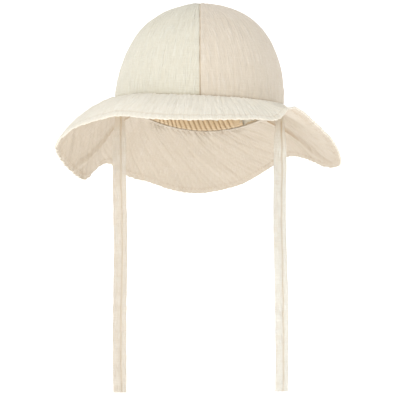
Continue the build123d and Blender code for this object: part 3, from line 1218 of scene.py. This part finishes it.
# ------------------------------------------------------------------------------ chin ties
@dataclass
class Tie:
    """A flat chin tie of folded gauze, pinched where it is sewn in and hanging free below."""

    side: str
    swing_axis: Array
    fold_axis: Array
    route: tuple[tuple[float, float, float], ...]
    wardrobe: Wardrobe
    width: float = 12.0 * MM
    root_width: float = 7.0 * MM
    pinch_length: float = 36.0 * MM
    thickness: float = 1.6 * MM
    twist: float = 0.0
    fold_line: float = 0.24
    seed: int = 0
    finish: Cloth = Cloth.TIE

    def centre_line(self) -> Array:
        """Points along a smooth spline whose control points are the route.

        Returns:
            The line, points by 3.
        """
        curve = bpy.data.curves.new(f"tie_{self.side}_route", "CURVE")
        curve.dimensions = "3D"
        spline = curve.splines.new("NURBS")
        spline.points.add(len(self.route) - 1)
        for point, place in zip(spline.points, self.route):
            point.co = (*(MM * v for v in place), 1.0)
        spline.order_u = 3
        spline.use_endpoint_u = True
        curve.resolution_u = 24
        holder = bpy.data.objects.new(curve.name, curve)
        bpy.context.scene.collection.objects.link(holder)
        line = bpy.data.meshes.new_from_object(holder)
        points = np.zeros(len(line.vertices) * 3)
        line.vertices.foreach_get("co", points)
        bpy.data.objects.remove(holder)
        bpy.data.meshes.remove(line)
        return points.reshape(-1, 3)

    def strip(self, line: Array) -> bpy.types.Object:
        """The tie's mesh: a flat rounded section carried down the centre line.

        The section is a superellipse of the tie's width and thickness, dented along the pressed
        fold. It narrows and thickens towards the sewn root, and its edges waver.

        Args:
            line: the centre line, points by 3.

        Returns:
            The tie.
        """
        steps = np.linalg.norm(np.diff(line, axis=0), axis=1)
        run = np.concatenate([[0], np.cumsum(steps)])
        rings = 430
        place = np.linspace(0, run[-1], rings)
        centre = np.stack([np.interp(place, run, line[:, k]) for k in range(3)], -1)
        down = np.gradient(centre, axis=0)
        down /= np.linalg.norm(down, axis=1, keepdims=True)
        noise = Relief(50 + self.seed)
        turn = np.radians(self.twist * (0.6 + 0.4 * noise.at(place / (60 * MM), place * 0)))
        broad = np.stack([np.cos(turn), np.sin(turn), np.zeros(rings)], -1)
        front = np.cross(broad, down)
        front /= np.linalg.norm(front, axis=1, keepdims=True)
        pinch = ease(place / self.pinch_length)
        half = (self.root_width + (self.width - self.root_width) * pinch) / 2
        half = half * (1 + 0.035 * noise.at(place / (7 * MM), place * 0 + 9))
        thick = self.thickness / 2 * (1.7 - 0.7 * pinch)
        ends = np.minimum(place, run[-1] - place)
        square = np.clip(ends / (0.7 * MM), 0, 1)
        thick = thick * np.sqrt(np.clip(1 - (1 - square) ** 2, 0.02, 1))
        hem = 0.22 * MM * (1 - ease((run[-1] - place - 7 * MM) / (0.8 * MM)))
        ring = 56
        angle = np.arange(ring) * 2 * math.pi / ring
        across = np.sign(np.cos(angle)) * np.abs(np.cos(angle)) ** 0.8
        through = np.sign(np.sin(angle)) * np.abs(np.sin(angle)) ** 0.45
        wide = half[:, None] * across
        s = place[:, None]
        fold_place = self.fold_line * half[:, None] + 0.25 * MM * noise.at(s / (14 * MM), s * 0 + 3)
        dent = 0.62 * hump(wide - fold_place, 0.55 * MM) * ease((s - 4 * MM) / (6 * MM))
        layer = 0.22 * (wide > fold_place)
        crease = 0.20 * noise.creases(wide / (2.6 * MM) + 11, s / (16 * MM)) + 0.22 * noise.at(
            wide / (5 * MM), s / (4.2 * MM)
        )
        gather = 0.5 * noise.at(wide / (1.1 * MM) + 5, s / (20 * MM)) * (1 - pinch[:, None])
        relief = (layer - dent + crease + gather - 0.15) * MM
        depth = (thick[:, None] + hem[:, None] + relief * 0.8) * through
        cup = 0.9 * MM * noise.at(s / (38 * MM), np.full_like(s, 17.0)) * (across**2)
        points = centre[:, None] + broad[:, None] * wide[..., None] + front[:, None] * (depth + cup)[..., None]
        index = np.arange(rings * ring).reshape(rings, ring)
        here, there = index[:-1], index[1:]
        walls = np.stack([here, np.roll(here, -1, 1), np.roll(there, -1, 1), there], -1).reshape(-1, 4)
        caps = [index[0, ::-1].tolist(), index[-1].tolist()]
        uv = np.stack(np.broadcast_arrays(wide + 0.02 * (through < 0), s), -1).reshape(-1, 2)
        # Painted shade: along the pressed fold, towards the pinched root, and a little in the hollows of the relief.
        shade = np.clip(dent * 1.1 + 0.5 * (1 - pinch[:, None]), 0, 1)
        shade = np.maximum(shade, np.clip(-relief / (0.9 * MM), 0, 0.12))
        return make_object(f"chin_tie_{self.side}", points.reshape(-1, 3), walls.tolist() + caps, uv, shade.ravel())

    def build(self) -> None:
        """Build the tie and its root stitching, and hang the stitching on the tie's top body."""
        line = self.centre_line()
        strip = self.strip(line)
        self.wardrobe.dress(strip, self.finish, "tie_gauze")
        top, free = f"tie_{self.side}_top", f"tie_{self.side}_free"
        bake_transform(strip)
        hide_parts(f"tie_{self.side}", f"tie_{self.side}_root")
        reach = self.root_width / 2.4
        offset = np.array([[-reach, -1.75 * MM, 0.6 * MM], [reach, -1.75 * MM, 0.6 * MM]])
        bar = self.swing_axis + np.linspace(0, 1, 12)[:, None] * (offset[1] - offset[0]) + offset[0]
        rows = []
        for number in range(2):
            normals = np.tile((0.0, -1.0, 0.0), (12, 1))
            shifted = bar + (0, 0, number * 1.0 * MM)
            rows.append(stitches(f"bar_{self.side}_{number}", shifted, normals, 2.0 * MM, 1.7 * MM, 0.2 * MM))
        tack = join(f"tie_{self.side}_root_stitching", rows)
        self.wardrobe.dress(tack, Cloth.THREAD, "thread")
        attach(tack, top)


# Points of each tie from the sewn root down, in millimetres.
TIE_RIGHT_ROUTE = (
    (-71.5, -3.5, -9.4),
    (-71.5, -3.6, -23.5),
    (-72.1, -3.0, -64.2),
    (-71.2, -3.9, -104.5),
    (-70.6, -3.2, -144.7),
    (-71.4, -4.0, -185.0),
    (-71.8, -3.5, -225.2),
    (-71.3, -3.8, -265.5),
)
TIE_LEFT_ROUTE = (
    (71.5, 3.5, -15.6),
    (71.5, 3.4, -30.2),
    (71.8, 3.0, -69.5),
    (71.3, 3.9, -108.7),
    (72.3, 3.1, -147.9),
    (73.1, 3.9, -187.1),
    (73.4, 3.2, -226.3),
    (73.1, 3.5, -265.5),
)


# ------------------------------------------------------------------------------ studio
@dataclass
class Studio:
    """A white sweep, soft lights and the camera."""

    camera_distance: float = 1.3
    camera_height: float = -0.094
    lens: float = 131.0
    floor_height: float = -0.30

    def camera(self) -> None:
        """A level camera in front of the hat."""
        data = bpy.data.cameras.new("camera")
        data.lens = self.lens
        data.sensor_width = 36.0
        eye = bpy.data.objects.new("camera", data)
        eye.location = (0, -self.camera_distance, self.camera_height)
        eye.rotation_euler = (math.pi / 2, 0, 0)
        bpy.context.scene.collection.objects.link(eye)
        bpy.context.scene.camera = eye

    def sweep(self) -> None:
        """A white floor that curves up into a wall behind the hat: a quarter circle between planes."""
        turn = np.linspace(0, math.pi / 2, 16)
        bend, back = 0.8, 1.6
        y = np.concatenate([[-4.0], back + bend * np.sin(turn), [back + bend]])
        z = np.concatenate([[0.0], bend * (1 - np.cos(turn)), [4.0]]) + self.floor_height
        x = np.array([-5.0, 5.0])
        points = np.stack(np.broadcast_arrays(x[:, None], y[None], z[None]), -1)
        index = np.arange(points.shape[0] * points.shape[1]).reshape(points.shape[:2])
        faces = np.stack([index[:-1, :-1], index[1:, :-1], index[1:, 1:], index[:-1, 1:]], -1).reshape(-1, 4)
        mesh = bpy.data.meshes.new("sweep")
        mesh.from_pydata(points.reshape(-1, 3).tolist(), [], faces.tolist())
        mesh.polygons.foreach_set("use_smooth", np.ones(len(faces), bool))
        sweep = bpy.data.objects.new("sweep", mesh)
        paint = bpy.data.materials.new("white_sweep")
        paint.use_nodes = True
        shader = paint.node_tree.nodes["Principled BSDF"]
        shader.inputs["Base Color"].default_value = (0.95, 0.95, 0.95, 1)
        shader.inputs["Roughness"].default_value = 1.0
        shader.inputs["Specular IOR Level"].default_value = 0.0
        shader.inputs["Emission Color"].default_value = (1, 1, 1, 1)
        shader.inputs["Emission Strength"].default_value = 0.42
        mesh.materials.append(paint)
        bpy.context.scene.collection.objects.link(sweep)

    def light(self, name: str, place: Place, size: float, power: float, colour: Colour) -> None:
        """A soft area light aimed at the hat.

        Args:
            name: the light's name.
            place: where the light stands.
            size: side of the light.
            power: power in watts.
            colour: the light's colour.
        """
        data = bpy.data.lights.new(name, "AREA")
        data.size, data.energy, data.color = size, power, colour
        lamp = bpy.data.objects.new(name, data)
        lamp.location = place
        aim = np.array((0.0, 0.0, -0.05)) - np.array(place)
        lamp.rotation_euler = (math.acos(-aim[2] / np.linalg.norm(aim)), 0, math.atan2(-aim[0], aim[1]))
        bpy.context.scene.collection.objects.link(lamp)

    def build(self) -> None:
        """Set up the camera, the sweep and the lights."""
        self.camera()
        self.sweep()
        world = bpy.data.worlds.new("studio")
        world.use_nodes = True
        world.node_tree.nodes["Background"].inputs["Color"].default_value = (1, 0.985, 0.975, 1)
        world.node_tree.nodes["Background"].inputs["Strength"].default_value = 0.60
        bpy.context.scene.world = world
        bpy.context.scene.view_settings.view_transform = "Standard"
        self.light("key", (-1.1, -1.3, 0.9), 0.9, 10.5, (1.0, 0.995, 0.985))
        self.light("fill", (1.2, -1.2, 0.1), 1.2, 4.0, (1.0, 0.97, 0.93))
        self.light("top", (-0.2, -0.6, 1.4), 1.2, 2.4, (1.0, 1.0, 0.99))


# ------------------------------------------------------------------------------ main
def main() -> None:
    """Build the hat round its frame."""
    logging.basicConfig(level=logging.INFO)
    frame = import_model()
    joints = {joint["name"]: joint for joint in frame["joints"]}
    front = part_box("crown_front_left")
    shape = HatShape(half_width=front[1].x, half_depth=-front[0].y, crown_height=front[1].z)
    wardrobe = Wardrobe()
    Studio().build()
    hangs = (("right", TIE_RIGHT_ROUTE, 3.0, 1, Cloth.TIE), ("left", TIE_LEFT_ROUTE, 24.0, 2, Cloth.TIE_PALE))
    for side, route, twist, seed, finish in hangs:
        swing = np.array(joints[f"tie_{side}_swing"]["pos_m"])
        fold = np.array(joints[f"tie_{side}_fold"]["pos_m"])
        Tie(side, swing, fold, route, wardrobe, twist=twist, seed=seed, finish=finish).build()
    fold_front = -joints["front_brim_turn_up"]["pos_m"][1]
    fold_back = joints["neck_flap_turn_up"]["pos_m"][1]
    Crown(shape, wardrobe).build()
    Brim(shape, wardrobe, fold_front, fold_back).build()
    InsideTrim(shape, wardrobe).build()


if __name__ == "__main__":
    main()
